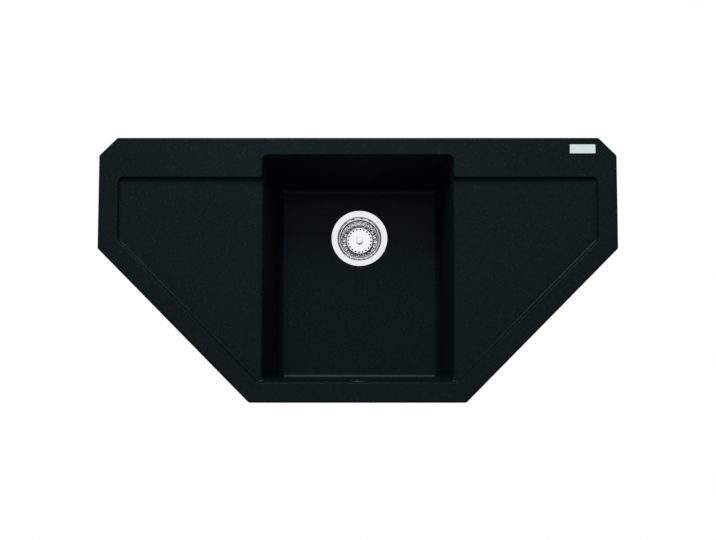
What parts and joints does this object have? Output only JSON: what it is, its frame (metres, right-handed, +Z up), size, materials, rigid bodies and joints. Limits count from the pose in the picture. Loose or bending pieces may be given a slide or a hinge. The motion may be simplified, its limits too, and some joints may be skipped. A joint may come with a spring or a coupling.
{
  "type": "corner kitchen sink",
  "caption": "Corner kitchen sink moulded in black quartz composite, with a drainer each side of a square bowl, strainer waste and worktop clips.",
  "frame": {"origin": "middle of the 975 x 500 mm outline, on the flat underside of the rim that rests on the worktop", "axes": "+X to the right along the long side, +Y to the rear (tap ledge), +Z up"},
  "size_m": [0.975, 0.5, 0.3018],
  "materials": {
    "composite": "matte black quartz composite",
    "foam": "closed-cell foam",
    "plate_steel": "brushed",
    "zinc_steel": "zinc plated",
    "jaw_metal": "die cast",
    "brass": "machined",
    "brushed_steel": "brushed stainless",
    "polished_steel": "polished stainless",
    "knob_steel": "polished stainless",
    "cover_black": "moulded in the sink's black",
    "black_steel": "blackened steel",
    "rubber": "soft rubber",
    "waste_plastic": "white polypropylene",
    "catch_plastic": "black plastic",
    "hose_plastic": "flexible plastic"
  },
  "bodies": {
    "sink": {"sink_body": "composite", "rim_seal": "foam", "badge_plate": "plate_steel", "clip_brackets": "zinc_steel", "anchor_screws": "zinc_steel", "anchor_inserts": "brass", "waste_cup": "brushed_steel", "flange_gasket": "rubber", "body_gasket": "rubber", "waste_body": "waste_plastic", "centre_screw": "polished_steel", "centre_insert": "brass", "overflow_cover": "cover_black", "overflow_screw": "black_steel", "overflow_gasket": "rubber", "overflow_elbow": "waste_plastic", "overflow_hose": "hose_plastic", "hose_nuts": "waste_plastic", "hose_washers": "rubber"},
    "basket": {"basket": "polished_steel", "basket_knob": "knob_steel", "basket_stem": "polished_steel", "basket_seal": "rubber", "stem_catch": "catch_plastic"},
    "clamp_screw_1": {"clamp_screw_1": "zinc_steel"},
    "clip_jaw_1": {"clip_jaw_1": "jaw_metal"},
    "clamp_screw_2": {"clamp_screw_2": "zinc_steel"},
    "clip_jaw_2": {"clip_jaw_2": "jaw_metal"},
    "clamp_screw_3": {"clamp_screw_3": "zinc_steel"},
    "clip_jaw_3": {"clip_jaw_3": "jaw_metal"},
    "clamp_screw_4": {"clamp_screw_4": "zinc_steel"},
    "clip_jaw_4": {"clip_jaw_4": "jaw_metal"},
    "clamp_screw_5": {"clamp_screw_5": "zinc_steel"},
    "clip_jaw_5": {"clip_jaw_5": "jaw_metal"},
    "clamp_screw_6": {"clamp_screw_6": "zinc_steel"},
    "clip_jaw_6": {"clip_jaw_6": "jaw_metal"},
    "clamp_screw_7": {"clamp_screw_7": "zinc_steel"},
    "clip_jaw_7": {"clip_jaw_7": "jaw_metal"},
    "clamp_screw_8": {"clamp_screw_8": "zinc_steel"},
    "clip_jaw_8": {"clip_jaw_8": "jaw_metal"}
  },
  "joints": [
    {"name": "basket_lift", "type": "slide", "parent": "sink", "child": "basket", "axis": [0, 0, 1], "range_m": [0, 0.26]},
    {"name": "clamp_1_turn", "type": "hinge", "parent": "sink", "child": "clamp_screw_1", "pos_m": [0.31, 0.211, -0.05], "axis": [0, 0, 1], "range_deg": [0, 1800]},
    {"name": "clamp_1_climb", "type": "slide", "parent": "sink", "child": "clip_jaw_1", "axis": [0, 0, 1], "range_m": [0, 0.025]},
    {"name": "clamp_2_turn", "type": "hinge", "parent": "sink", "child": "clamp_screw_2", "pos_m": [0.4485, 0.13, -0.05], "axis": [0, 0, 1], "range_deg": [0, 1800]},
    {"name": "clamp_2_climb", "type": "slide", "parent": "sink", "child": "clip_jaw_2", "axis": [0, 0, 1], "range_m": [0, 0.025]},
    {"name": "clamp_3_turn", "type": "hinge", "parent": "sink", "child": "clamp_screw_3", "pos_m": [0.39694, 0.00283, -0.05], "axis": [0, 0, 1], "range_deg": [0, 1800]},
    {"name": "clamp_3_climb", "type": "slide", "parent": "sink", "child": "clip_jaw_3", "axis": [0, 0, 1], "range_m": [0, 0.025]},
    {"name": "clamp_4_turn", "type": "hinge", "parent": "sink", "child": "clamp_screw_4", "pos_m": [0.24849, -0.14745, -0.05], "axis": [0, 0, 1], "range_deg": [0, 1800]},
    {"name": "clamp_4_climb", "type": "slide", "parent": "sink", "child": "clip_jaw_4", "axis": [0, 0, 1], "range_m": [0, 0.025]},
    {"name": "clamp_5_turn", "type": "hinge", "parent": "sink", "child": "clamp_screw_5", "pos_m": [-0.31, 0.211, -0.05], "axis": [0, 0, 1], "range_deg": [0, 1800]},
    {"name": "clamp_5_climb", "type": "slide", "parent": "sink", "child": "clip_jaw_5", "axis": [0, 0, 1], "range_m": [0, 0.025]},
    {"name": "clamp_6_turn", "type": "hinge", "parent": "sink", "child": "clamp_screw_6", "pos_m": [-0.4485, 0.13, -0.05], "axis": [0, 0, 1], "range_deg": [0, 1800]},
    {"name": "clamp_6_climb", "type": "slide", "parent": "sink", "child": "clip_jaw_6", "axis": [0, 0, 1], "range_m": [0, 0.025]},
    {"name": "clamp_7_turn", "type": "hinge", "parent": "sink", "child": "clamp_screw_7", "pos_m": [-0.39694, 0.00283, -0.05], "axis": [0, 0, 1], "range_deg": [0, 1800]},
    {"name": "clamp_7_climb", "type": "slide", "parent": "sink", "child": "clip_jaw_7", "axis": [0, 0, 1], "range_m": [0, 0.025]},
    {"name": "clamp_8_turn", "type": "hinge", "parent": "sink", "child": "clamp_screw_8", "pos_m": [-0.24849, -0.14745, -0.05], "axis": [0, 0, 1], "range_deg": [0, 1800]},
    {"name": "clamp_8_climb", "type": "slide", "parent": "sink", "child": "clip_jaw_8", "axis": [0, 0, 1], "range_m": [0, 0.025]}
  ],
  "couplings": [
    {"joint": "clamp_1_climb", "follows": "clamp_1_turn", "m_per_rad": 0.00079577},
    {"joint": "clamp_2_climb", "follows": "clamp_2_turn", "m_per_rad": 0.00079577},
    {"joint": "clamp_3_climb", "follows": "clamp_3_turn", "m_per_rad": 0.00079577},
    {"joint": "clamp_4_climb", "follows": "clamp_4_turn", "m_per_rad": 0.00079577},
    {"joint": "clamp_5_climb", "follows": "clamp_5_turn", "m_per_rad": 0.00079577},
    {"joint": "clamp_6_climb", "follows": "clamp_6_turn", "m_per_rad": 0.00079577},
    {"joint": "clamp_7_climb", "follows": "clamp_7_turn", "m_per_rad": 0.00079577},
    {"joint": "clamp_8_climb", "follows": "clamp_8_turn", "m_per_rad": 0.00079577}
  ]
}
